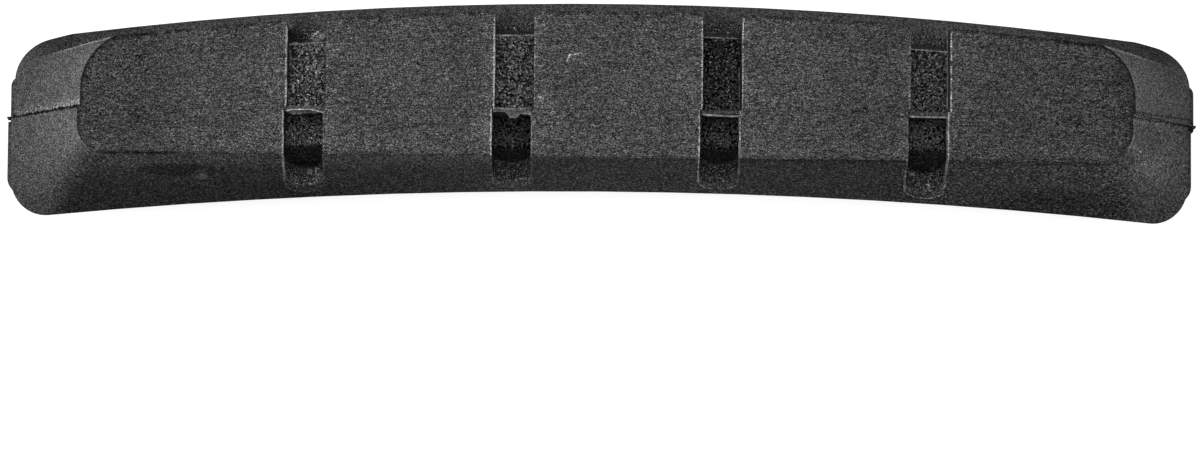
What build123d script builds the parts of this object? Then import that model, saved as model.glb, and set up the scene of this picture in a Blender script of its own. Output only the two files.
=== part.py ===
from build123d import *
import os

# Bicycle rim brake pad: a replaceable rubber insert for a cartridge brake shoe.
# It is one moulding in a two-part mould. X runs along the pad, +Y points to the outer, convex
# edge (away from the wheel hub), and +Z points out of the friction face. The origin is on the
# back of the rail, at mid-length, so the pad lies on its rail at Z = 0.

# Friction block, in millimetres
block_length = 71.0
block_height = 11.2  # across the block at mid-length
block_thickness = 6.5  # friction face to the shoe lips
convex_radius = 247.0
concave_radius = 328.0
convex_corner_radius = 2.4
concave_corner_radius = 2.1
block_edge_radius = 0.25  # round along the foot of the block

# Convex side: a steep wall below the face, standing on a round-shouldered skirt
wall_inset = 1.1  # top of the wall inside the convex edge
skirt_width = 1.12  # foot of the wall inside the convex edge
skirt_rise = 0.8  # widest level up to the foot of the wall
skirt_drop = 4.5  # face down to the widest level
skirt_shoulder_radius = 1.6

# Concave bevel: from a straight edge of the face out to the curved side
bevel_run = 1.4  # at mid-length
bevel_drop = 6.2

# End ramps, which fall from the face to the blunt ends
left_ramp_run = 4.45
right_ramp_run = 3.8
ramp_drop = 5.6
face_convex_corner_radius = 3.45
face_concave_corner_radius = 1.7
nose_corner_spread = 1.3  # how much wider the ramp corners are at the foot of the block
face_overrun = 0.17  # the ramp surfaces pass this far outside the convex edge of the face
foot_overrun = 0.65  # and this far outside the convex edge at the foot of the block

# Water slots across the face
slot_count = 4
slot_width = 2.34
slot_pitch = 12.39
slot_offset = 0.93  # centre of the row from mid-length, towards +X
plateau_depth = 2.8  # slot floor over the core of the pad
plateau_concave_inset = 0.73  # floor edge inside the straight edge of the face
plateau_convex_inset = 0.97  # floor edge inside the curved edge of the face
concave_wing_depth = 4.5  # deeper, round-bottomed slot ends outside the core
convex_wing_depth = 4.3
core_foot_inset = 1.65  # core wall inside the concave edge, at the floor of the concave slot end

# Rail, which slides into the shoe
rail_radius = 280.0  # centre line, following the rim
rail_overhang = 0.43  # rail end beyond the block end
neck_width = 5.4
neck_height = 1.3
flange_width = 7.2
flange_thickness = 1.6
rail_convex_corner_radius = 0.55
rail_concave_corner_radius = 1.0
flange_edge_radius = 0.35

# Groove across the back for the pin that keeps the pad in its shoe
pin_groove_width = 2.2
pin_groove_bite = 0.6  # cut into the neck, past the flange
pin_groove_corner_radius = 0.4
pin_groove_from_end = 10.0  # groove centre to the +X end of the rail

# Mould parting plane, a flat XZ plane, with the two halves slightly out of line
parting_y = -1.42
mould_mismatch = 0.15
web_thickness = 0.2
web_bite = 0.3  # how far a web is rooted in the slot walls and floor
whole_web_top = 0.1  # top of the webs in the first slots, below the face
torn_web_top = 0.9  # top of the webs torn lower, in the rest
whole_web_count = 2
left_fin_reach = 0.36  # fins of flash past the ends of the block
right_fin_reach = 0.44
fin_height = 1.0
fin_thickness = 0.1

# Levels
block_back = flange_thickness + neck_height
face_level = block_back + block_thickness
skirt_level = face_level - skirt_drop
plateau_level = face_level - plateau_depth

pin_groove_depth = flange_thickness + pin_groove_bite

# Plan positions
block_end = block_length / 2
rail_end = block_end + rail_overhang
edge_y = block_height / 2
face_left = -block_end + left_ramp_run
face_right = block_end - right_ramp_run
face_convex_y = edge_y - wall_inset
face_concave_y = -edge_y + bevel_run


def arc_y(edge, x):
    """Height at x of an edge, given as its height at mid-length and its radius, or None if straight."""
    apex, radius = edge
    return apex - radius + (radius**2 - x**2) ** 0.5 if radius else apex


def pad_outline(left, right, convex, concave, convex_corner, concave_corner):
    """Pad plan between two ends: a convex and a concave edge with rounded corners."""
    # On an end that is too short for both corners, they shrink together until they fit
    end_height = min(arc_y(convex, x) - arc_y(concave, x) for x in (left, right))
    fit = min(1, end_height / (0.95 * (convex_corner + concave_corner)))
    with BuildSketch() as outline:
        with BuildLine():
            Line((left, arc_y(concave, left)), (left, arc_y(convex, left)))
            ThreePointArc((left, arc_y(convex, left)), (0, convex[0]), (right, arc_y(convex, right)))
            Line((right, arc_y(convex, right)), (right, arc_y(concave, right)))
            if concave[1]:
                ThreePointArc(
                    (right, arc_y(concave, right)), (0, concave[0]), (left, arc_y(concave, left))
                )
            else:
                Line((right, concave[0]), (left, concave[0]))
        make_face()
        fillet(outline.vertices().sort_by(Axis.Y)[-2:], fit * convex_corner)
        fillet(outline.vertices().sort_by(Axis.Y)[:2], fit * concave_corner)
    return outline.sketch


def rail_outline(end, width):
    """Plan of a band that follows the rim."""
    convex = (width / 2, rail_radius + width / 2)
    concave = (-width / 2, rail_radius - width / 2)
    return pad_outline(
        -end, end, convex, concave, rail_convex_corner_radius, rail_concave_corner_radius
    )


# Block, upright all round
with BuildPart() as block:
    with BuildSketch(Plane.XY.offset(block_back)):
        add(
            pad_outline(
                -block_end,
                block_end,
                (edge_y, convex_radius),
                (-edge_y, concave_radius),
                convex_corner_radius,
                concave_corner_radius,
            )
        )
    extrude(amount=block_thickness)

# Space above the skirt, turned about the centre of the convex edge
with BuildPart() as skirt_relief:
    with BuildSketch(Plane.YZ):
        with BuildLine():
            shoulder_top = (edge_y - skirt_width, skirt_level + skirt_rise)
            RadiusArc(shoulder_top, (edge_y, skirt_level), skirt_shoulder_radius)
            Polyline(
                (edge_y, skirt_level),
                (edge_y + skirt_width, skirt_level),
                (edge_y + skirt_width, face_level),
                (face_convex_y, face_level),
                shoulder_top,
            )
        make_face()
    revolve(axis=Axis((0, edge_y - convex_radius, 0), (0, 0, 1)))

# Crown: end ramps and concave bevel as one ruled form, carried past the foot of the block
ramp_reach = block_thickness / ramp_drop
bevel_reach = block_thickness / bevel_drop
with BuildPart() as crown:
    with BuildSketch(Plane.XY.offset(block_back)):
        add(
            pad_outline(
                face_left - left_ramp_run * ramp_reach,
                face_right + right_ramp_run * ramp_reach,
                (edge_y + foot_overrun, convex_radius),
                (face_concave_y - bevel_run * bevel_reach, concave_radius / bevel_reach),
                face_convex_corner_radius + nose_corner_spread,
                face_concave_corner_radius + nose_corner_spread,
            )
        )
    with BuildSketch(Plane.XY.offset(face_level)):
        add(
            pad_outline(
                face_left,
                face_right,
                (face_convex_y + face_overrun, convex_radius),
                (face_concave_y, None),
                face_convex_corner_radius,
                face_concave_corner_radius,
            )
        )
    loft(ruled=True)

# Core of the pad under the slots: its top is the slot floor, and its walls lean out with depth
core_convex_y = face_convex_y - plateau_convex_inset
core_concave_y = face_concave_y + plateau_concave_inset
core_reach = (block_thickness - plateau_depth) / (concave_wing_depth - plateau_depth)
core_lean = (core_concave_y - (core_foot_inset - edge_y)) * core_reach
with BuildPart() as core:
    with BuildSketch(Plane.XY.offset(block_back)):
        add(
            pad_outline(
                -rail_end,
                rail_end,
                (core_convex_y + core_lean, convex_radius),
                (core_concave_y - core_lean, concave_radius / core_reach),
                convex_corner_radius,
                concave_corner_radius,
            )
        )
    with BuildSketch(Plane.XY.offset(plateau_level)):
        add(
            pad_outline(
                -rail_end,
                rail_end,
                (core_convex_y, convex_radius),
                (core_concave_y, None),
                convex_corner_radius,
                concave_corner_radius,
            )
        )
    loft(ruled=True)

# Slot voids: a round-bottomed channel on each side of the parting plane, less the core
slot_places = [slot_offset + slot_pitch * (i - (slot_count - 1) / 2) for i in range(slot_count)]
parting_plane = Plane.XZ.offset(-parting_y)
slot_reach = 2 * block_height
with BuildPart() as slots:
    for depth, side in ((concave_wing_depth, 1), (convex_wing_depth, -1)):
        round_level = face_level - depth + slot_width / 2
        with BuildSketch(parting_plane):
            with Locations([(x, round_level) for x in slot_places]):
                Rectangle(slot_width, 2 * block_thickness, align=(Align.CENTER, Align.MIN))
                Circle(slot_width / 2)
        extrude(amount=side * slot_reach)
    add(core.part, mode=Mode.SUBTRACT)

# Rail: a neck and a wider flange that follow the rim
with BuildPart() as rail:
    with BuildSketch():
        add(rail_outline(rail_end, flange_width))
    extrude(amount=flange_thickness)
    fillet(edges().group_by(Axis.Z)[0] + edges().group_by(Axis.Z)[-1], flange_edge_radius)
    with BuildSketch(Plane.XY.offset(flange_thickness)):
        add(rail_outline(block_end, neck_width))
    extrude(amount=neck_height)

# Whole pad as the mould cavity was cut, before its halves part
with BuildPart() as cavity:
    add(block.part)
    add(skirt_relief.part, mode=Mode.SUBTRACT)
    add(crown.part, mode=Mode.INTERSECT)
    fillet(edges().group_by(Axis.Z)[0], block_edge_radius)
    add(slots.part, mode=Mode.SUBTRACT)
    add(rail.part)
    with BuildSketch(Plane.XZ) as pin_groove:
        with Locations((rail_end - pin_groove_from_end, pin_groove_depth)):
            Rectangle(pin_groove_width, 2 * pin_groove_depth, align=(Align.CENTER, Align.MAX))
        fillet(pin_groove.vertices().group_by(Axis.Y)[-1], pin_groove_corner_radius)
    extrude(amount=slot_reach, both=True, mode=Mode.SUBTRACT)

# The two mould halves, one on each side of the parting plane
with BuildPart() as concave_half:
    add(cavity.part)
    split(bisect_by=parting_plane, keep=Keep.TOP)
with BuildPart() as convex_half:
    add(cavity.part)
    split(bisect_by=parting_plane, keep=Keep.BOTTOM)

# The moulded pad: halves out of line by the mismatch, with a thin web of flash in each slot and a
# fin of it at each end
fin_foot = face_level - ramp_drop - web_thickness - fin_height
with BuildPart() as brake_pad:
    with Locations((mould_mismatch / 2, 0, 0)):
        add(convex_half.part)
    with Locations((-mould_mismatch / 2, 0, 0)):
        add(concave_half.part)
    for i, x in enumerate(slot_places):
        top = whole_web_top if i < whole_web_count else torn_web_top
        with Locations((x, parting_y, plateau_level - web_bite)):
            Box(
                slot_width + 2 * web_bite,
                web_thickness,
                plateau_depth - top + web_bite,
                align=(Align.CENTER, Align.CENTER, Align.MIN),
            )
    for end, reach in ((-block_end, left_fin_reach), (block_end, right_fin_reach)):
        with Locations((end, parting_y, fin_foot)):
            Box(
                2 * reach,
                fin_thickness,
                fin_height,
                align=(Align.CENTER, Align.CENTER, Align.MIN),
            )

brake_pad.part.label = "brake_pad"
os.makedirs("parts", exist_ok=True)
export_step(brake_pad.part, "parts/brake_pad.step")
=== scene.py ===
# %% [markdown]
# # A rubber brake pad
#
# The pad is the rubber insert of a cartridge brake shoe: one black moulding, 72 mm long, with a ground
# friction face, four water slots and mould flash. Its solid shape is finished in the CAD model, so the
# work here is the surface: what the rubber looks like where it was ground, where it kept its moulded
# skin, and where it tore.

# %% Load the pad
import bmesh
import bpy
import math
from mathutils import Matrix, Vector, noise


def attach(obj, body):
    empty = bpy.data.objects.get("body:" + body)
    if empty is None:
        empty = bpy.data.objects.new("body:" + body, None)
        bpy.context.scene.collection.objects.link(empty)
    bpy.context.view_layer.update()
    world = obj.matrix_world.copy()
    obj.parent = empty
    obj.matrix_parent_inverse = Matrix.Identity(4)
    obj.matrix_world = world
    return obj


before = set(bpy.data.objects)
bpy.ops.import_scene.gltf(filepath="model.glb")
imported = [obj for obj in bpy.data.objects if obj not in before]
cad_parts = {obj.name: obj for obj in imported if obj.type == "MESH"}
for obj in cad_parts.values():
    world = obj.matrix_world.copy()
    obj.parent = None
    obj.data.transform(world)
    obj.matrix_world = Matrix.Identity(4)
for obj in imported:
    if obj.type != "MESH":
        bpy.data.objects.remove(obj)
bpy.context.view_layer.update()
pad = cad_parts["brake_pad"]
scene = bpy.context.scene
mm = 0.001

# %% [markdown]
# ## Sizes that the surface follows
#
# Wear and flash sit on the edges of the solid: on the slots, on the line where the mould parted and on
# the curved sides. Those edges could be searched for in the mesh, but its triangles carry no names. The
# few sizes that place them are short to write down, in the millimetres of the CAD model.

# %% Sizes of the solid in millimetres
face_z, floor_z = 9.4, 6.6  # friction face, and slot floors over the core
convex_y, convex_radius = 5.6, 247.0
bevel_top_y, bevel_run, bevel_drop = -4.2, 1.4, 6.2
concave_radius = 328.0
parting_y, half_shift = -1.42, 0.075  # where the mould halves meet, and how far each is out of line
slot_pitch, slot_offset, slot_half = 12.39, 0.93, 1.17
concave_depth, convex_depth = 4.5, 4.3  # round-bottomed slot ends, below the face
slot_axis_z = face_z - concave_depth + slot_half  # centre of the round bottom on the concave side
slots = [slot_offset + slot_pitch * (i - 1.5) for i in range(4)]
print("slots at", [round(x, 2) for x in slots])

# %% [markdown]
# ## Camera
#
# The pad is photographed from almost straight above with a long lens, so its sides hardly converge. The
# camera leans a few degrees towards the concave side, which shows the bevel and hides most of the convex
# wall. A lens of about 190 mm at 38 cm gives the same scale and the same slight perspective.

# %% Camera
target = Vector((0.0, -9.11, face_z)) * mm
camera_distance = 380.0 * mm
lean, twist = math.radians(6.3), math.radians(0.44)
focal_pixels, picture_pixels = 6401.5, 1200  # focal length and picture width in the same pixels
turn = Matrix.Rotation(lean, 4, "X") @ Matrix.Rotation(twist, 4, "Z")
camera_data = bpy.data.cameras.new("camera")
camera_data.sensor_width = 36.0
camera_data.lens = camera_data.sensor_width * focal_pixels / picture_pixels
camera = bpy.data.objects.new("camera", camera_data)
camera.matrix_world = Matrix.Translation(target + turn @ Vector((0.0, 0.0, camera_distance))) @ turn
scene.collection.objects.link(camera)
scene.camera = camera
print("lens", round(camera_data.lens, 1), "mm")

# %% [markdown]
# ## Nodes in a few words
#
# Every material below is a net of small nodes. It could be drawn by hand in the node editor, but in a
# script each mask stays next to the sentence that explains it. These helpers keep the net readable: they
# feed a socket with a number or a link, do arithmetic, and turn a range of a value into a mask from 0 to 1.

# %% Node helpers
def feed(tree, socket, value):
    """Link a socket to another socket, or set its own number."""
    if isinstance(value, bpy.types.NodeSocket):
        tree.links.new(value, socket)
    else:
        socket.default_value = value


def sums(tree, operation, *values):
    """A Math node."""
    made = tree.nodes.new("ShaderNodeMath")
    made.operation = operation
    for socket, value in zip(made.inputs, values):
        feed(tree, socket, value)
    return made.outputs[0]


def mask(tree, value, low, high):
    """A smooth step from 0 at low to 1 at high."""
    made = tree.nodes.new("ShaderNodeMapRange")
    made.interpolation_type = "SMOOTHSTEP"
    for name, number in (("Value", value), ("From Min", low), ("From Max", high)):
        feed(tree, made.inputs[name], number)
    return made.outputs["Result"]


# %% Arithmetic in plain words
def times(tree, first, *others):
    """Values multiplied. It joins masks too: a point has to lie inside all of them."""
    for value in others:
        first = sums(tree, "MULTIPLY", first, value)
    return first


def plus(tree, first, *others):
    """Values added."""
    for value in others:
        first = sums(tree, "ADD", first, value)
    return first


def minus(tree, value, other):
    """One value less another."""
    return sums(tree, "SUBTRACT", value, other)


def outside(tree, zone):
    """All that a mask leaves out."""
    return minus(tree, 1.0, zone)


def absolute(tree, value):
    """How far a value is from zero."""
    return sums(tree, "ABSOLUTE", value)


def line(tree, value, slope, start):
    """A straight line: slope times the value, plus a start."""
    return sums(tree, "MULTIPLY_ADD", value, slope, start)


def square_sum(tree, one, other):
    """The squares of two values, added: a distance before its root is taken."""
    return line(tree, one, one, times(tree, other, other))


# %% [markdown]
# ## White ground
#
# The pad lies on plain white. To the camera and to reflections the floor glows at just under white and
# the lamps add the rest, so open floor is white and the pad's own soft shadow is kept. To light that
# bounces on it the floor is a plain grey card, so that it does not flood the pad's sides.

# %% Floor
floor_mesh = bpy.data.meshes.new("floor")
sheet = bmesh.new()
bmesh.ops.create_grid(sheet, x_segments=1, y_segments=1, size=1.0)
sheet.to_mesh(floor_mesh)
sheet.free()
floor = bpy.data.objects.new("floor", floor_mesh)
scene.collection.objects.link(floor)
print("floor", len(floor_mesh.polygons), "face")

# %% White paper
paper = bpy.data.materials.new("white_paper")
paper.use_nodes = True
paper_tree = paper.node_tree
paper_tree.nodes.clear()
path = paper_tree.nodes.new("ShaderNodeLightPath")
seen = sums(paper_tree, "MAXIMUM", path.outputs["Is Camera Ray"], path.outputs["Is Glossy Ray"])
seen = sums(paper_tree, "MAXIMUM", seen, path.outputs["Is Transmission Ray"])
glow = paper_tree.nodes.new("ShaderNodeEmission")
glow.inputs["Strength"].default_value = 0.84
matt = paper_tree.nodes.new("ShaderNodeBsdfDiffuse")
matt.inputs["Color"].default_value = (0.4, 0.4, 0.4, 1.0)
bright = paper_tree.nodes.new("ShaderNodeAddShader")
choice = paper_tree.nodes.new("ShaderNodeMixShader")
out = paper_tree.nodes.new("ShaderNodeOutputMaterial")
for source, socket in (
    (glow.outputs[0], bright.inputs[0]),
    (matt.outputs[0], bright.inputs[1]),
    (seen, choice.inputs[0]),
    (matt.outputs[0], choice.inputs[1]),
    (bright.outputs[0], choice.inputs[2]),
    (choice.outputs[0], out.inputs["Surface"]),
):
    paper_tree.links.new(source, socket)
floor_mesh.materials.append(paper)
print("white paper", len(paper_tree.nodes), "nodes")

# %% [markdown]
# ## Light
#
# A big soft lamp hangs overhead. A second one low on the left makes the left end ramp the brightest part
# of the pad, and a weaker one on the right lifts the other ramp. Little comes from the concave side, so
# the bevel stays dark. Area lamps are used because a point lamp would draw hard shadows in the slots.

# %% Lamps and sky
def lamp(name, place, size, watts):
    """A square soft lamp that faces the pad."""
    data = bpy.data.lights.new(name, "AREA")
    data.shape = "SQUARE"
    data.size = size
    data.energy = watts
    made = bpy.data.objects.new(name, data)
    made.location = place
    made.rotation_euler = (-Vector(place)).to_track_quat("-Z", "Y").to_euler()
    scene.collection.objects.link(made)
    print("lamp", name, watts, "W")


lamp("overhead", (-0.05, 0.12, 0.80), 0.6, 3.3)
lamp("left", (-0.75, 0.05, 0.30), 0.45, 5.0)
lamp("right", (0.75, 0.05, 0.30), 0.45, 2.2)
sky = bpy.data.worlds.new("sky")
sky.use_nodes = True
sky.node_tree.nodes["Background"].inputs["Color"].default_value = (1.0, 1.0, 1.0, 1.0)
sky.node_tree.nodes["Background"].inputs["Strength"].default_value = 0.22
scene.world = sky
scene.view_settings.view_transform = "Standard"

# %% [markdown]
# ## Rubber
#
# The pad is one compound, but three surfaces. The friction face is ground: dull, grainy, with streaks
# along the pad and pale crumbs. The sides keep the moulded skin: finer and a little smoother. The slots
# are torn and black. One material with masks by place does this better than several, because the borders
# stay on the edges of the solid. Positions come from Object coordinates, turned into millimetres.

# %% Patterns in millimetres
def millimetres(tree):
    """Object coordinates scaled from metres to millimetres."""
    place = tree.nodes.new("ShaderNodeTexCoord")
    scaled = tree.nodes.new("ShaderNodeVectorMath")
    scaled.operation = "SCALE"
    tree.links.new(place.outputs["Object"], scaled.inputs[0])
    scaled.inputs["Scale"].default_value = 1.0 / mm
    return scaled.outputs[0]


def stretched(tree, where, scale, degrees=0.0, shift=0.0):
    """The same place, turned about Z, moved and stretched for a pattern with a direction."""
    made = tree.nodes.new("ShaderNodeMapping")
    made.inputs["Rotation"].default_value = (0.0, 0.0, math.radians(degrees))
    made.inputs["Location"].default_value = (shift, shift, shift)
    made.inputs["Scale"].default_value = scale
    tree.links.new(where, made.inputs["Vector"])
    return made.outputs[0]


def grain(tree, where, scale, detail=1.0, roughness=0.5):
    """Cloudy noise with about this many lumps in a millimetre."""
    made = tree.nodes.new("ShaderNodeTexNoise")
    made.inputs["Scale"].default_value = scale
    made.inputs["Detail"].default_value = detail
    made.inputs["Roughness"].default_value = roughness
    tree.links.new(where, made.inputs["Vector"])
    return made.outputs["Fac"]


def even_grain(tree, where, lumps, shift, detail, roughness=0.5):
    """Cloudy noise that is moved off the others, so that no two patterns fall together."""
    return grain(tree, stretched(tree, where, (lumps, lumps, lumps), 0.0, shift), 1.0, detail, roughness)


def crumbs(tree, where, scale):
    """Tiny cells, about this many in a millimetre, each with its own value from 0 to 1."""
    made = tree.nodes.new("ShaderNodeTexVoronoi")
    made.inputs["Scale"].default_value = scale
    tree.links.new(where, made.inputs["Vector"])
    parts = tree.nodes.new("ShaderNodeSeparateColor")
    tree.links.new(made.outputs["Color"], parts.inputs[0])
    return parts.outputs[0]


def swing(tree, value, amount):
    """A pattern around 0.5 turned into a swing of this amount around 0."""
    return line(tree, value, amount, -0.5 * amount)


# %% [markdown]
# ## Where each surface is
#
# On the real pad the grinder touched only the top, so height alone tells ground rubber from moulded skin.
# The end ramps are told by place and by the way they face. Painting masks by hand would work as well, but
# masks made from coordinates have sharp borders at any zoom and need no picture.

# %% Height, place along the pad and facing
rubber = bpy.data.materials.new("rubber")
rubber.use_nodes = True
tree = rubber.node_tree
shader = tree.nodes["Principled BSDF"]
shader.inputs["Specular IOR Level"].default_value = 0.0
where = millimetres(tree)
split = tree.nodes.new("ShaderNodeSeparateXYZ")
tree.links.new(where, split.inputs[0])
along, across, height = split.outputs
fall = minus(tree, face_z, height)
ground = mask(tree, height, 9.30, 9.38)
below = outside(tree, ground)
from_middle = absolute(tree, along)
at_end = sums(tree, "GREATER_THAN", from_middle, 27.0)
endward = mask(tree, from_middle, 24.0, 31.0)
sense = tree.nodes.new("ShaderNodeTexCoord")
leaning = tree.nodes.new("ShaderNodeSeparateXYZ")
tree.links.new(sense.outputs["Normal"], leaning.inputs[0])
faces_end = times(tree, mask(tree, absolute(tree, leaning.outputs[0]), 0.15, 0.40), at_end)
print("rubber", len(tree.nodes), "nodes for places")

# %% How far a point lies inside the convex edge, which is an arc
flattened = tree.nodes.new("ShaderNodeVectorMath")
flattened.operation = "MULTIPLY"
flattened.inputs[1].default_value = (1.0, 1.0, 0.0)
tree.links.new(where, flattened.inputs[0])
from_centre = tree.nodes.new("ShaderNodeVectorMath")
from_centre.operation = "DISTANCE"
from_centre.inputs[1].default_value = (0.0, convex_y - convex_radius, 0.0)
tree.links.new(flattened.outputs[0], from_centre.inputs[0])
inset = minus(tree, convex_radius, from_centre.outputs["Value"])
print("convex edge turns about y =", convex_y - convex_radius)

# %% [markdown]
# ## Places in the row of slots
#
# The four slots are alike, so one distance from the nearest slot serves all of them: a Wrap node repeats
# it along the pad. The halves of the mould are a little out of line, and each slot is measured from the
# centre that its own half has.

# %% Distance from the nearest slot
convex_half = sums(tree, "GREATER_THAN", across, parting_y)
row_start = half_shift + 2.5 * slot_pitch - slot_offset
in_row = plus(tree, along, line(tree, convex_half, -2 * half_shift, row_start))
aside = sums(tree, "WRAP", in_row, slot_pitch / 2, -slot_pitch / 2)
from_slot = absolute(tree, aside)
from_row = absolute(tree, minus(tree, along, slot_offset))
among_slots = sums(tree, "LESS_THAN", from_row, 2 * slot_pitch)
outer_slot = sums(tree, "GREATER_THAN", from_row, slot_pitch)

# The inside of a slot: above the axis of its round bottom it is straight, and below it is round.
axis_z = line(tree, convex_half, concave_depth - convex_depth, slot_axis_z)
under_axis = sums(tree, "MINIMUM", minus(tree, height, axis_z), 0.0)
in_slot = sums(tree, "LESS_THAN", square_sum(tree, from_slot, under_axis), (slot_half + 0.02) ** 2)
in_slot = times(tree, in_slot, mask(tree, height, 9.3, 9.1), outside(tree, at_end))
print("slots repeat every", slot_pitch, "mm")

# %% [markdown]
# ## Patterns of the rubber
#
# Seen close, the black is full of small marks: crumbs from the grinding, streaks and grooves along the
# pad, pits, and ragged breaks along edges. Photographs of rubber would show them too, but they repeat and
# have a fixed sharpness. Noise at several sizes gives the same mix without end, and each pattern is made
# once and used in many places.

# %% Grain, streaks, flecks and pits
fine = crumbs(tree, stretched(tree, where, (20.0, 30.0, 16.0), 4.0), 1.0)
coarse = grain(tree, where, 4.0, 1.5, 0.6)
cloud = grain(tree, where, 0.3, 3.0, 0.55)
streak = grain(tree, stretched(tree, where, (2.6, 15.0, 1.0), 6.0), 1.0, 2.0, 0.65)
fleck = grain(tree, stretched(tree, where, (6.0, 15.0, 2.0), 5.0, 4.0), 1.0, 1.0)
fleck = mask(tree, fleck, 0.64, 0.74)
groove = grain(tree, stretched(tree, where, (0.7, 11.0, 1.0), 3.0, 6.0), 1.0, 2.0, 0.6)
groove = mask(tree, groove, 0.58, 0.70)
pit = mask(tree, even_grain(tree, where, 7.0, 7.0, 1.0), 0.64, 0.72)
ragged = even_grain(tree, where, 2.6, 3.0, 3.0, 0.6)
tear = even_grain(tree, where, 7.0, 2.0, 2.0, 0.6)
mottle = swing(tree, even_grain(tree, where, 6.0, 9.0, 2.0, 0.6), 3.0)
lip_grain = swing(tree, even_grain(tree, where, 9.0, 11.0, 2.0, 0.7), 3.6)
print("rubber", len(tree.nodes), "nodes with patterns")


# %% Single marks
def spot(tree, x, y, wide, tall):
    """A soft round mask at one place on the pad."""
    beside = times(tree, minus(tree, along, x), 1.0 / wide)
    above = times(tree, minus(tree, across, y), 1.0 / tall)
    away = square_sum(tree, beside, above)
    return mask(tree, plus(tree, away, swing(tree, tear, 1.5)), 1.3, 0.4)


def scratch(tree, x0, y0, x1, y1, half):
    """A thin straight mask between two places on the pad."""
    length = math.hypot(x1 - x0, y1 - y0)
    dx, dy = (x1 - x0) / length, (y1 - y0) / length
    right, up = minus(tree, along, x0), minus(tree, across, y0)
    run = line(tree, right, dx, times(tree, up, dy))
    off = line(tree, right, -dy, times(tree, up, dx))
    off = absolute(tree, plus(tree, off, swing(tree, tear, half)))
    ends = times(tree, mask(tree, run, 0.0, 0.2 * length), mask(tree, run, length, 0.8 * length))
    return times(tree, mask(tree, off, 1.5 * half, 0.5 * half), ends)


# %% [markdown]
# ## Tones
#
# A worn surface is made of layers: this patch is a little paler, that edge is darker. If each layer
# multiplies the one before, none can push the black below zero. A tone here is therefore an exponent:
# layers are added to it, zone by zone, and one power at the end turns it into paleness.

# %% Adding layers to a tone
def shaded(tree, tone, zones, within=None):
    """A tone with an amount added in each zone, all of them inside one mask if that is given."""
    for zone, amount in zones:
        if within is not None:
            zone = times(tree, within, zone)
        tone = line(tree, zone, amount, tone)
    return tone


def paleness(tree, tone, middle):
    """How pale a surface is, from its tone and from the paleness that a tone of 0 stands for."""
    return times(tree, sums(tree, "POWER", 2.718, tone), middle)


# %% [markdown]
# ## Edges of the friction face
#
# The ground face ends in a dark broken rim at the two ends. Drawing that rim by coordinates would need the
# rounded outline of the face. A Bevel node finds it instead: it turns the normal near an edge, and the
# lean of that normal tells how near the edge is.

# %% Rim of the face
turned = tree.nodes.new("ShaderNodeBevel")
turned.samples = 4
turned.inputs["Radius"].default_value = 0.5 * mm
flat = tree.nodes.new("ShaderNodeNewGeometry")
facing = tree.nodes.new("ShaderNodeVectorMath")
facing.operation = "DOT_PRODUCT"
tree.links.new(turned.outputs[0], facing.inputs[0])
tree.links.new(flat.outputs["True Normal"], facing.inputs[1])
near_edge = outside(tree, facing.outputs["Value"])
unevenness = plus(tree, swing(tree, ragged, 0.06), swing(tree, tear, 0.08))
rim = mask(tree, plus(tree, near_edge, unevenness), 0.004, 0.022)
rim = times(tree, rim, at_end, mask(tree, across, -3.9, -2.6))
convex_dash = times(tree, mask(tree, inset, 1.38, 1.2), mask(tree, ragged, 0.40, 0.54))
print("rim found within", round(turned.inputs["Radius"].default_value / mm, 2), "mm")

# %% [markdown]
# ## Pale edges of the slots, with painted highlight and shade
#
# The edges of the slots are pale, partly rubbed and partly a painted highlight, the left edges on the left
# of the pad and the right ones on its right. The real right edges lie a hair further out than those of the
# solid, so a thin band of painted shade, for the shaded slot wall, is drawn up to them. Lines could be
# modelled here, but bands of the distance from the slot cost no mesh.

# %% Pale slot edges with painted highlight, and a band of painted shade
right_side = sums(tree, "GREATER_THAN", aside, 0.0)
left_edge_paleness = line(tree, mask(tree, along, 21.0, 8.0), 0.9, 0.2)
right_edge_paleness = line(tree, mask(tree, along, -16.0, 12.0), 1.2, 0.45)
edge_paleness = line(tree, right_side, minus(tree, right_edge_paleness, left_edge_paleness), left_edge_paleness)
pale_width = line(tree, mask(tree, along, 10.0, 19.0), 0.08, 0.10)
past_edge = minus(tree, from_slot, slot_half)
# Painted shade: a thin dark band up to the real right edges, where the slot wall lies in shade.
edge_gap_shade = times(tree, right_side, among_slots, mask(tree, past_edge, 0.06, 0.02))
# Pale slot edges: partly rubbed rubber, partly a painted highlight.
slot_edge_wear_and_highlight = times(
    tree,
    mask(tree, past_edge, pale_width, 0.045),
    outside(tree, edge_gap_shade),
    edge_paleness,
    mask(tree, ragged, 0.24, 0.48),
    among_slots,
    mask(tree, inset, 1.2, 1.55),
)
print("rubber", len(tree.nodes), "nodes with edges")
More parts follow.
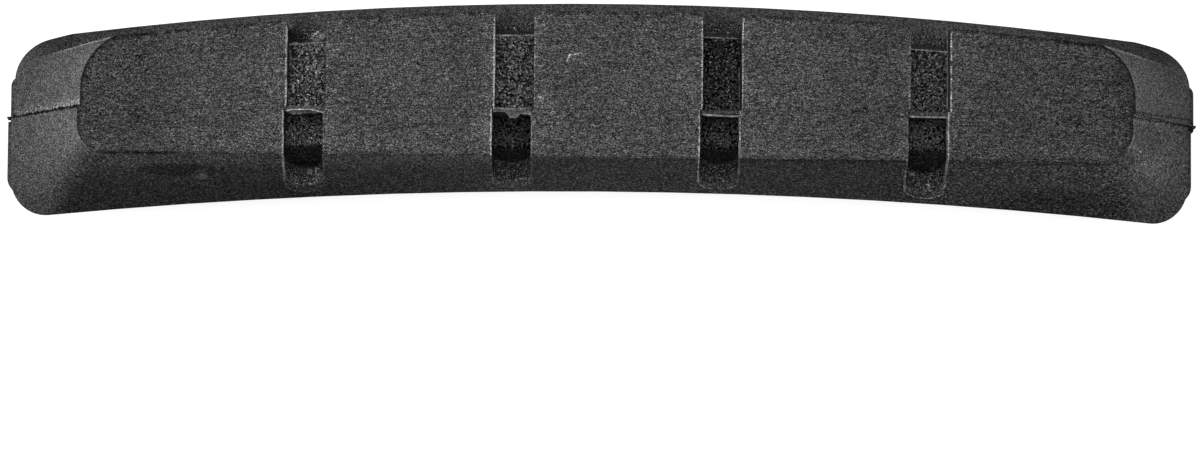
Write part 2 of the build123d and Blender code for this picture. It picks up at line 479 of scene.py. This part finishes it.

# %% [markdown]
# ## Ground face
#
# The grinder left a dull grey with strong grain, and streaks that run almost along the pad. The right end
# is darker, crumbs lie by the slots, and a few single scratches and spots are the pad's own; the dark spots
# just right of three slots are painted shade. All are layers on one tone.

# %% Tone of the ground face
dusted = times(tree, mask(tree, from_slot, 2.9, 1.2), mask(tree, ragged, 0.40, 0.65))
lower_left_edge = times(tree, mask(tree, across, -3.85, -4.2), mask(tree, along, -4.0, -9.0))
ground_tone = plus(tree, swing(tree, fine, 3.6), swing(tree, coarse, 0.4))
ground_tone = plus(tree, ground_tone, swing(tree, streak, 2.6), swing(tree, cloud, 0.7))
ground_tone = shaded(tree, ground_tone, (
    (fleck, 0.7),
    (groove, -0.45),
    (dusted, 0.4),
    # Darker to the right and at both ends, a little paler towards the bevel
    (mask(tree, along, 9.0, 19.0), -0.22),
    (mask(tree, along, 29.6, 31.4), -0.45),
    (mask(tree, along, -23.0, -30.5), -0.30),
    (mask(tree, across, -2.2, -3.6), 0.07),
    # Edges
    (rim, -1.9),
    (convex_dash, -0.8),
    (slot_edge_wear_and_highlight, 1.3),
    (edge_gap_shade, -0.6),
    (lower_left_edge, -0.35),
    # Pale scratches, then dark ones, of which the first is the trace of the parting line
    (scratch(tree, 8.52, 4.35, 8.37, 3.0, 0.04), 1.0),
    (scratch(tree, -1.28, 1.95, -2.02, 1.80, 0.045), 1.8),
    (scratch(tree, -1.83, 1.98, -2.11, 1.38, 0.045), 1.8),
    (scratch(tree, -31.0, parting_y, 31.0, parting_y, 0.03), -0.35),
    (scratch(tree, -16.1, -3.1, -8.8, -2.2, 0.05), -0.4),
    # Spots by the slots and near the left end; the dark ones just right of slots are painted shade
    (spot(tree, -3.62, -0.75, 0.22, 0.24), 0.7),
    (spot(tree, -16.0, 0.7, 0.25, 1.0), -0.35),
    (spot(tree, 8.85, 1.4, 0.25, 1.1), -0.35),
    (spot(tree, 21.2, -3.4, 0.2, 0.45), -0.45),
    (spot(tree, -26.4, 1.65, 0.22, 0.14), 0.5),
))
ground_pale = paleness(tree, ground_tone, 0.0412)
print("rubber", len(tree.nodes), "nodes with the ground face")

# %% [markdown]
# ## Moulded skin on the bevel
#
# The skin that touched the mould is finer and has small pits. On the bevel it is darker towards both
# ends, with a dark blotch and a rubbed patch near the left one. The bevel runs out into the ends along a
# slant, so the mask that holds it follows that slant and not a plain place along the pad.

# %% Tone of the bevel
skin_tone = plus(tree, swing(tree, fine, 2.9), swing(tree, coarse, 0.3), swing(tree, cloud, 0.5))
skin_tone = shaded(tree, skin_tone, ((pit, -0.9),))
bevel_end = line(tree, across, 0.65, line(tree, along, 0.011, from_middle))
on_bevel = times(tree, mask(tree, across, -4.1, -4.25), mask(tree, bevel_end, 28.9, 27.0))
edge_top = mask(tree, fall, 0.34, 0.18)
edge_foot = times(tree, mask(tree, fall, 0.18, 0.34), mask(tree, fall, 0.8, 0.5))
skin_tone = shaded(tree, skin_tone, (
    (1.0, -0.16),
    (mottle, 1.12),
    # Left half: darker outwards, paler again under the face
    (mask(tree, along, -2.0, -20.0), -0.34),
    (times(tree, mask(tree, along, -3.0, -9.0), mask(tree, fall, 2.6, 0.6)), 0.48),
    (times(tree, mask(tree, along, -12.0, -20.0), mask(tree, fall, 2.5, 4.5)), -0.3),
    # Right half: darker outwards, coarser, darkest at the foot
    (mask(tree, along, 4.0, 20.0), -0.22),
    (times(tree, mask(tree, along, 17.0, 23.0), mask(tree, fall, 5.0, 1.5)), 0.22),
    (times(tree, mask(tree, along, 21.0, 27.0), mask(tree, fall, 2.4, 5.0)), -0.45),
    (times(tree, mottle, mask(tree, along, 14.0, 20.0)), 0.7),
    # The first half millimetre below the face
    (times(tree, edge_top, mask(tree, along, -8.0, 0.0)), 0.75),
    (times(tree, edge_top, mask(tree, along, 16.0, 21.0)), -0.6),
    (times(tree, edge_foot, mask(tree, along, 5.0, 9.0)), -0.4),
    # Blotch and rubbed patch
    (spot(tree, -25.2, -4.98, 2.4, 0.3), -0.7),
    (spot(tree, -23.9, -5.15, 0.45, 0.28), 0.8),
), within=on_bevel)
print("rubber", len(tree.nodes), "nodes with the bevel")

# %% [markdown]
# ## Ramps and skirt
#
# The end ramps are paler near the face, and mottled on the concave side of the right one. The skirt, the
# shoulder that the convex wall stands on, is dark, most of all at the ends, below a crease that carries a
# painted highlight. The ramp layers are held to surfaces that face an end, so that they do not run on along
# the convex wall.

# %% Tone of the ramps and the skirt
on_ramp = times(tree, faces_end, outside(tree, on_bevel))
ramp_shade = line(tree, fall, -0.105, 0.36)
right_foot = times(tree, mask(tree, along, 29.0, 31.0), outside(tree, convex_half))
skirt = times(tree, mask(tree, inset, 1.17, 1.07), mask(tree, from_middle, 35.3, 33.2))
# Painted highlight: a pale line along the crease, where the ramp's edge catches the light.
crease_highlight = times(tree, mask(tree, inset, 1.27, 1.19), mask(tree, inset, 1.06, 1.13))
crease_highlight = times(tree, crease_highlight, faces_end, mask(tree, fall, 4.2, 2.5))
skin_tone = shaded(tree, skin_tone, (
    (on_ramp, ramp_shade),
    (right_foot, mottle),
    (skirt, line(tree, endward, -0.4, -0.28)),
    (crease_highlight, 0.8),
))
skin_tone = shaded(tree, skin_tone, (
    (spot(tree, 32.6, -2.6, 1.2, 0.8), -0.22),
    (spot(tree, 33.3, -4.6, 0.9, 0.9), 0.2),
    (spot(tree, 31.2, -4.1, 0.7, 0.7), -0.3),
    (spot(tree, -30.6, -4.2, 0.9, 0.7), -0.3),
), within=at_end)
print("rubber", len(tree.nodes), "nodes with the ends")

# %% [markdown]
# ## Inside the slots
#
# The wall of the core is black down to an arched edge, lower in the outer two slots: painted shade in the
# pit there. The scooped end outside it is pale and grainy, and painted lighter in the first slot and a
# little in the last, where the solid's slot would shade it. The scoop on the convex side carries painted
# shade next to the core.
# Separate pieces could line the slots, but these tones lie on walls that the solid has, so they are masks
# inside a slot.

# %% Tone inside the slots
arch = line(tree, times(tree, from_slot, from_slot), 0.32, -4.12)
past_arch = minus(tree, across, line(tree, outer_slot, -0.4, arch))
past_arch = plus(tree, past_arch, swing(tree, tear, 0.5))
# Painted shade: the wall of the core is dark down to the arch.
core_wall_shade = times(tree, mask(tree, across, -3.2, -3.6), mask(tree, past_arch, -0.14, 0.14))
scoop_end = mask(tree, past_arch, 0.05, -0.2)
# Painted shade on the convex scoop, next to the core.
convex_scoop_shade = times(
    tree,
    convex_half,
    mask(tree, inset, 0.7, 1.45),
    line(tree, mask(tree, inset, 1.5, 2.1), -0.5, 1.0),
    mask(tree, height, 6.9, 6.5),
)
skin_tone = shaded(tree, skin_tone, (
    (core_wall_shade, line(tree, lip_grain, 1.6, -1.2)),
    (scoop_end, line(tree, lip_grain, 2.6, -0.6)),
    # Painted light in the scooped ends of the first and the last slot.
    (times(tree, scoop_end, mask(tree, along, -10.0, -13.0)), 0.92),
    (times(tree, scoop_end, mask(tree, along, 12.0, 16.0)), 0.3),
    (convex_scoop_shade, line(tree, lip_grain, 2.6, -0.52)),
    # A painted pool of light on the right and painted shade on the left of the first slot's convex scoop, a
    # pale patch at its concave end, and a pale one in the last
    (spot(tree, -17.1, 3.35, 0.5, 0.42), 1.4),
    (spot(tree, -18.3, 3.3, 0.6, 0.5), -0.9),
    (spot(tree, -17.0, -4.75, 0.2, 0.3), 0.8),
    (spot(tree, 18.7, -4.6, 0.22, 0.16), 1.0),
), within=in_slot)
print("rubber", len(tree.nodes), "nodes with the slots")

# %% [markdown]
# ## Pale U round the slot ends on the bevel
#
# Round each slot end the bevel carries a paler U, and the real slot ends look deeper there than those of
# the solid. The inside of the U is grainy, and its outline is pale, most of all on the right of the
# pad. The shape belongs to the CAD model, so the U is drawn by colour: a distance from a lower axis.

# %% Tone of the slot ends
mark_half, mark_axis_z = slot_half + 0.02, 5.15
under_mark = sums(tree, "MINIMUM", minus(tree, height, mark_axis_z), 0.0)
from_mark = minus(tree, sums(tree, "SQRT", square_sum(tree, from_slot, under_mark)), mark_half)
on_mark = times(tree, on_bevel, among_slots, outside(tree, in_slot))
inside_u = mask(tree, plus(tree, from_mark, swing(tree, tear, 0.1)), 0.02, -0.02)
u_line = absolute(tree, plus(tree, from_mark, swing(tree, tear, 0.06)))
u_line = times(tree, mask(tree, u_line, 0.10, 0.03), mask(tree, ragged, 0.32, 0.56))
first_left = times(tree, mask(tree, along, -16.0, -18.0), mask(tree, height, 5.0, 5.6))
skin_tone = shaded(tree, skin_tone, (
    (inside_u, line(tree, lip_grain, 1.6, 0.25)),
    (u_line, line(tree, mask(tree, along, -2.0, 5.0), 1.2, 0.4)),
    (times(tree, u_line, first_left), 1.4),
    (scratch(tree, 5.87, -4.2, 5.88, -5.3, 0.04), 1.2),
), within=on_mark)
skin_pale = paleness(tree, skin_tone, 0.060)
print("rubber", len(tree.nodes), "nodes with the moulded skin")

# %% [markdown]
# ## Parting line on the end ramps
#
# The halves of the mould met here. On the left a thin ragged line of painted shade, along the step, has a
# pale torn ridge on its convex side. On the right the flash tore off between two thin dark lines. The step
# itself is in
# the solid, so only colour is added here: lines that start near the parting plane and lean off it a little.

# %% Parting line
off_parting = plus(tree, minus(tree, across, parting_y), swing(tree, tear, 0.42))
on_left, on_right = sums(tree, "LESS_THAN", along, 0.0), sums(tree, "GREATER_THAN", along, 0.0)


def dark_line(start, slope, half, side):
    """A line along a ramp that starts this far off the parting plane and leans off it as the ramp falls."""
    off = minus(tree, off_parting, line(tree, fall, slope, start))
    return times(tree, mask(tree, minus(tree, half, absolute(tree, off)), -0.02, 0.02), side)


# Painted shade along the step of the parting line on the left ramp.
left_seam_shade = dark_line(0.0, 0.0, line(tree, fall, -0.011, 0.125), on_left)
upper_line = times(tree, dark_line(0.10, 0.044, 0.05, on_right), 0.75)
lower_line = times(tree, dark_line(-0.22, 0.036, 0.055, on_right), mask(tree, tear, 0.38, 0.50))
seam = sums(tree, "MAXIMUM", left_seam_shade, sums(tree, "MAXIMUM", upper_line, lower_line))
seam = times(tree, seam, at_end, below)
ridge = times(
    tree,
    mask(tree, off_parting, 0.09, 0.15),
    mask(tree, off_parting, 0.75, 0.15),
    mask(tree, line(tree, fall, -0.02, tear), 0.40, 0.62),
    mask(tree, along, -30.0, -31.0),
    below,
)
skin_pale = times(tree, skin_pale, line(tree, seam, -0.9, 1.0))
skin_pale = line(tree, ridge, 0.26, skin_pale)
print("rubber", len(tree.nodes), "nodes with the parting line")

# %% [markdown]
# ## Put the tones together
#
# Near the left end a dark broken line runs along the concave edge of the face, over both surfaces. The
# two surfaces are then mixed by the ground mask. The rubber is almost without colour, so one number sets
# it between black and white. A shallow bump adds the feel of the grain, which colour alone would lack.

# %% Colour
edge_line = plus(tree, minus(tree, across, bevel_top_y), swing(tree, tear, 0.3))
edge_line = times(
    tree,
    mask(tree, absolute(tree, edge_line), 0.13, 0.05),
    mask(tree, along, -23.0, -27.0),
    mask(tree, along, -30.2, -29.0),
    mask(tree, ragged, 0.40, 0.54),
)
blend = tree.nodes.new("ShaderNodeMix")
feed(tree, blend.inputs["Factor"], ground)
feed(tree, blend.inputs["A"], skin_pale)
feed(tree, blend.inputs["B"], ground_pale)
level = times(tree, blend.outputs["Result"], line(tree, edge_line, -0.8, 1.0))
level = sums(tree, "MAXIMUM", level, 0.006)
black = tree.nodes.new("ShaderNodeMix")
black.data_type = "RGBA"
darkest, palest = [socket for socket in black.inputs if socket.type == "RGBA"]
darkest.default_value = (0.0, 0.0, 0.0, 1.0)
palest.default_value = (1.0, 1.0, 1.01, 1.0)
feed(tree, black.inputs["Factor"], level)
colour = [socket for socket in black.outputs if socket.type == "RGBA"][0]
feed(tree, shader.inputs["Base Color"], colour)

# %% Roughness and bump
roughness = plus(tree, line(tree, ground, 0.2, 0.65), swing(tree, coarse, 0.15))
feed(tree, shader.inputs["Roughness"], roughness)
relief = plus(tree, grain(tree, where, 9.0), coarse)
bump = tree.nodes.new("ShaderNodeBump")
bump.inputs["Strength"].default_value = 0.5
bump.inputs["Distance"].default_value = 0.03 * mm
feed(tree, bump.inputs["Height"], line(tree, seam, -4.0, relief))
feed(tree, shader.inputs["Normal"], bump.outputs[0])
pad.material_slots[0].material = rubber
print("rubber", len(tree.nodes), "nodes in all")

# %% [markdown]
# ## Torn and scuffed rubber
#
# The slot floors were torn from the mould, so they are rough lumps of pale and black, darkened towards the
# core wall with painted shade. The burrs along the slot edges are thin and dusty, and their paleness is
# partly dust and partly a painted highlight. Both take one material that reads a tone attribute from the
# mesh, so that each lip and each floor can be as pale as the real one.

# %% Scuffed rubber
def scuffed_rubber(name, contrast):
    """Rubber whose paleness and pits come from the tone and worn attributes of the piece."""
    made = bpy.data.materials.new(name)
    made.use_nodes = True
    tree = made.node_tree
    shader = tree.nodes["Principled BSDF"]
    shader.inputs["Specular IOR Level"].default_value = 0.0
    shader.inputs["Roughness"].default_value = 0.8
    where = millimetres(tree)
    pale, worn = (tree.nodes.new("ShaderNodeAttribute") for _ in range(2))
    pale.attribute_name, worn.attribute_name = "tone", "worn"
    crumb_swing = swing(tree, crumbs(tree, where, 26.0), contrast)
    pattern = plus(tree, crumb_swing, swing(tree, grain(tree, where, 9.0, 1.0), contrast))
    pits = mask(tree, even_grain(tree, where, 7.0, 5.0, 1.0), 0.44, 0.50)
    pits = line(tree, minus(tree, pits, 1.0), worn.outputs["Fac"], 1.0)
    level = times(tree, paleness(tree, pattern, pale.outputs["Fac"]), pits)
    grey = tree.nodes.new("ShaderNodeCombineColor")
    for socket in grey.inputs:
        tree.links.new(level, socket)
    tree.links.new(grey.outputs[0], shader.inputs["Base Color"])
    print(name, len(tree.nodes), "nodes")
    return made


torn_rubber = scuffed_rubber("torn_rubber", 3.6)
deep_rubber = scuffed_rubber("deep_torn_rubber", 5.2)
# The burrs are pale partly from dust and partly as a painted highlight.
burr_dust_and_highlight = scuffed_rubber("burr_dust_and_highlight", 1.6)


# %% A bmesh made an object of the pad
def piece(name, form, material):
    """A finished bmesh, modelled in millimetres, as an object that moves with the pad."""
    bmesh.ops.scale(form, vec=(mm, mm, mm), verts=form.verts)
    bmesh.ops.recalc_face_normals(form, faces=form.faces)
    mesh = bpy.data.meshes.new(name)
    form.to_mesh(mesh)
    form.free()
    mesh.materials.append(material)
    made = bpy.data.objects.new(name, mesh)
    scene.collection.objects.link(made)
    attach(made, "root")
    print(name, len(mesh.polygons), "faces")
    return made


def convex_line(top, x):
    """Height across the pad of a line that follows its convex edge."""
    return top - convex_radius + math.sqrt(convex_radius**2 - x**2)


# %% [markdown]
# ## Slot floors
#
# Each slot has a flat floor over the core of the pad, in two halves with the web between. A bump map
# would do from far away, but these floors show real pits with shadow in them, so each is a fine grid
# that is lifted by noise. Its border is extruded down and closed, so that it is a slab sunk into the floor.

# %% One half of a floor
web_half = 0.1  # half the thickness of the web between the halves
floor_foot = -3.45  # edge of the floors on the concave side


def floor_slab(form, x0, x1, y0, y1, tone, uneven, seed):
    """A rough slab on the slot floor between two walls."""
    pale, worn = form.verts.layers.float["tone"], form.verts.layers.float["worn"]
    step = 0.04
    wide, deep = x1 - x0, y1 - y0
    place = Matrix.Translation(((x0 + x1) / 2, (y0 + y1) / 2, 0)) @ Matrix.Diagonal((wide, deep, 1, 1))
    grid = bmesh.ops.create_grid(
        form, x_segments=round(wide / step), y_segments=round(deep / step), size=0.5, matrix=place
    )["verts"]
    for vert in grid:
        speck = Vector((vert.co.x, vert.co.y, seed))
        lump = noise.noise(speck * 5.0) + 0.5 * noise.noise(speck * 11.0)
        near_web = 1.0 - min(1.0, abs(vert.co.y - parting_y) / 4.5)
        edge = min(vert.co.x - x0, x1 - vert.co.x, vert.co.y - y0, y1 - vert.co.y)
        hollow = min(1.0, max(0.0, (-0.40 + 0.34 * near_web - lump) * 7.0))
        lift = (0.07 - 0.16 * hollow + 0.05 * lump) * min(1.0, edge / 0.1)
        vert.co.z = floor_z + max(-0.08, lift)
        # Painted shade: the floor fades to near black at its concave end, where the pit by the core wall is
        # in shade.
        shade = min(1.0, max(0.03, (vert.co.y - floor_foot) / 0.3 + 0.5 * lump))
        light = max(0.1, 0.9 + 0.4 * near_web + uneven * lump) * (1.0 - 0.95 * hollow)
        vert[pale] = tone * shade * light
        vert[worn] = 0.88 + 0.12 * near_web


# %% Floors
floor_looks = [  # tone of the convex half and of the concave half, unevenness, material
    (0.133, 0.096, 0.6, torn_rubber),
    (0.110, 0.030, 0.5, torn_rubber),
    (0.020, 0.018, 1.6, deep_rubber),
    (0.074, 0.054, 0.8, torn_rubber),
]
for number, (x, (convex_tone, concave_tone, uneven, material)) in enumerate(zip(slots, floor_looks), 1):
    form = bmesh.new()
    form.verts.layers.float.new("tone")
    form.verts.layers.float.new("worn")
    left, right = x + half_shift - slot_half, x + half_shift + slot_half
    floor_slab(form, left, right, parting_y + web_half, convex_line(3.5, x), convex_tone, uneven, number)
    left, right = x - half_shift - slot_half, x - half_shift + slot_half
    floor_slab(form, left, right, floor_foot, parting_y - web_half, concave_tone, 0.7, number + 9)
    border = [edge for edge in form.edges if edge.is_boundary]
    hem = bmesh.ops.extrude_edge_only(form, edges=border)["geom"]
    for vert in [v for v in hem if isinstance(v, bmesh.types.BMVert)]:
        vert.co.z = floor_z - 0.1
    bmesh.ops.holes_fill(form, edges=[edge for edge in form.edges if edge.is_boundary])
    slot_floor = piece(f"slot_floor_{number}", form, material)
    for polygon in slot_floor.data.polygons:
        polygon.use_smooth = True

# %% [markdown]
# ## Burrs along the slots
#
# Grinding the face pushed a feather of rubber over the edges of the slots, and the mould left flash
# round their concave ends. Each burr is a thin ragged lip. A grid is laid along a route, widened by
# noise, and given a thickness, so that it hangs over the slot as the real one does.

# %% Lips
def route_of(points, leans):
    """The place and the lean for each share of the way along a row of points, and its length."""
    lengths = [0.0]
    for a, b in zip(points, points[1:]):
        lengths.append(lengths[-1] + (b - a).length)

    def at(share):
        goal = share * lengths[-1]
        i = next((i for i in range(1, len(points)) if goal <= lengths[i]), len(points) - 1)
        part = (goal - lengths[i - 1]) / (lengths[i] - lengths[i - 1])
        return points[i - 1].lerp(points[i], part), leans[i - 1].lerp(leans[i], part).normalized()

    return at, lengths[-1]


def lip(form, points, leans, width, tone, seed, thick=0.05, rag=0.25, taper=40, shades=(1, 1, 1, 1, 1)):
    """A ragged lip along points that hangs out along the leans, with a shade for each of its five rows."""
    pale = form.verts.layers.float["tone"]
    at, length = route_of(points, leans)
    steps = max(8, round(length / 0.06))
    made = bmesh.ops.create_grid(form, x_segments=steps, y_segments=4, size=0.5)["verts"]
    slow, quick = Vector((seed, 0, 0)), Vector((seed, 9, 0))
    for vert in made:
        share, out = vert.co.x + 0.5, vert.co.y + 0.5
        root, lean = at(share)
        flutter = noise.noise(root * 1.3 + slow) + 0.6 * noise.noise(root * 5.0 + quick)
        narrowing = min(1.0, taper * share + 0.1, taper * (1 - share) + 0.1)
        reach = width * max(0.15, 1.0 + rag * flutter) * narrowing
        vert.co = root + lean * (reach * out - 0.03)
        vert[pale] = tone * shades[round(4 * out)] * max(0.3, 1.0 + 0.7 * flutter)
    faces = list({face for vert in made for face in vert.link_faces})
    bmesh.ops.solidify(form, geom=faces, thickness=thick)


# %% Routes round a slot
lip_z = face_z - 0.03  # just under the face
web_gap = 0.15  # from the parting plane to the end of a burr


def bevel_y(x, z):
    """Height across the pad of the concave bevel."""
    return bevel_top_y - (bevel_run + x * x / (2 * concave_radius)) * (face_z - z) / bevel_drop


def straight_burr(form, x, side, top, width, tone, seed):
    """Burr on one edge of the convex half of a slot, up to a line that follows the convex edge."""
    edge = x + half_shift + side * slot_half
    points = [Vector((edge, y, lip_z)) for y in (parting_y + web_gap, convex_line(top, x))]
    lip(form, points, [Vector((-side, 0, 0))] * 2, width, tone, seed)


def bow_burr(form, x, side, width, tone, seed):
    """Burr on one edge of the concave half of a slot, and on into its round end on the bevel."""
    middle = x - half_shift
    edge = middle + side * slot_half
    points = [Vector((edge, y, lip_z)) for y in (parting_y - web_gap, -4.15)]
    leans = [Vector((-side, 0, 0))] * 2
    for degrees in range(0, 41, 10):
        angle = math.radians(degrees)
        dx, dz = side * slot_half * math.cos(angle), -slot_half * math.sin(angle)
        z = slot_axis_z + dz
        points.append(Vector((middle + dx, bevel_y(x, z) + 0.02, z)))
        leans.append(Vector((-dx, 0, -dz)))
    lip(form, points, leans, width, tone, seed + side)


# %% Burrs on each slot
burrs = bmesh.new()
burrs.verts.layers.float.new("tone")
straight_burrs = [  # side, height of the top end at mid-length, width, tone
    (-1, 4.05, 0.07, 0.28), (1, 4.4, 0.04, 0.10),
    (-1, 4.15, 0.06, 0.28), (1, 4.4, 0.025, 0.12),
    (-1, 4.05, 0.05, 0.22), (1, 4.4, 0.03, 0.15),
    (-1, 4.4, 0.05, 0.10), (1, 4.05, 0.03, 0.14),
]
for number, (side, top, width, tone) in enumerate(straight_burrs):
    straight_burr(burrs, slots[number // 2], side, top, width, tone, 3.0 * number)
bow_burrs = [  # side, width, tone
    (-1, 0.06, 0.34), (1, 0.03, 0.20),
    (-1, 0.06, 0.22), (1, 0.04, 0.14),
    (-1, 0.05, 0.24), (1, 0.05, 0.22),
    (-1, 0.05, 0.18), (1, 0.06, 0.26),
]
for number, (side, width, tone) in enumerate(bow_burrs):
    bow_burr(burrs, slots[number // 2], side, width, tone, 50.0 + 7.0 * (number // 2))

# On the right of the last two slots a second feather hangs lower, pale only at its tip.
feather_z, feather_shades = 9.1, (0.05, 0.05, 0.05, 0.4, 1)
for x, top, width, tone in ((slots[2], 1.3, 0.20, 0.10), (slots[3], 3.6, 0.18, 0.13)):
    edge = x + half_shift + slot_half
    points = [Vector((edge, y, feather_z)) for y in (parting_y + web_gap, top)]
    lip(burrs, points, [Vector((-1, 0, 0))] * 2, width, tone, x, shades=feather_shades)
piece("slot_burrs", burrs, burr_dust_and_highlight)

# %% [markdown]
# ## Webs and floor edges
#
# Where the two halves of the mould met, a thin web of flash crosses each slot. The solid has the web;
# its torn top edge is bent over and pale, partly with a painted highlight. The raised floor's edge on the
# convex side carries a painted highlight, a bright line. Both are more lips on the same pattern.

# %% Top edges of the webs
webs = bmesh.new()
webs.verts.layers.float.new("tone")
web_lips = [  # height, width, tone, and how the edge bows across the slot
    (9.30, 0.08, 0.34, (-0.06, 0.04, 0.07, 0.06, -0.02, -0.15)),
    (9.32, 0.06, 0.16, (0.17, 0.17, 0.16, 0.16, 0.17, 0.17)),
    (8.52, 0.10, 0.26, (0.04, 0.01, -0.02, -0.04, -0.05, -0.05)),
    (8.52, 0.10, 0.26, (0.01, 0.0, -0.02, -0.02, -0.03, -0.03)),
]
for number, (x, (top, width, tone, bow)) in enumerate(zip(slots, web_lips)):
    left, step = x - slot_half, 2 * slot_half / 5
    points = [Vector((left + step * i, parting_y - web_gap + lift, top)) for i, lift in enumerate(bow)]
    lip(webs, points, [Vector((0, -1, 0.1))] * 6, width, tone, 90.0 + 5 * number, thick=0.07)

# %% Torn webs and floor edges
# The first web hangs over below its pale edge. The second is torn wide, with a nub.
torn_webs = [  # from, to, width, lift, tone, taper
    (-18.90, -16.60, 0.24, -0.14, 0.055, 6),
    (-6.55, -5.40, 0.18, -0.02, 0.15, 6),
    (-5.74, -4.70, 0.64, -0.02, 0.11, 2.6),
    (-5.10, -4.05, 0.30, -0.02, 0.12, 6),
]
torn_z, torn_shades = 9.24, (1, 0.8, 0.9, 1, 1.5)
for x0, x1, width, lift, tone, taper in torn_webs:
    points = [Vector((x0 + (x1 - x0) * i / 5, parting_y + lift, torn_z)) for i in range(6)]
    leans = [Vector((0, -1, -0.05))] * 6
    lip(webs, points, leans, width, tone, 77.0 + x0, thick=0.09, rag=0.5, taper=taper, shades=torn_shades)

# Painted highlights: a pale lip along the convex edge of each raised floor.
floor_edge_highlights = [(0.07, 0.26), (0.08, 0.26), (0.07, 0.24), (0.07, 0.26)]  # width, tone
for number, (x, (width, tone)) in enumerate(zip(slots, floor_edge_highlights)):
    stations = [x + half_shift + slot_half * t for t in (-1, 0, 1)]
    points = [Vector((s, convex_line(3.42, s), floor_z + 0.13)) for s in stations]
    lip(webs, points, [Vector((0, 1, 0))] * 3, width, tone, 120.0 + 5 * number, thick=0.06)
piece("slot_webs", webs, burr_dust_and_highlight)
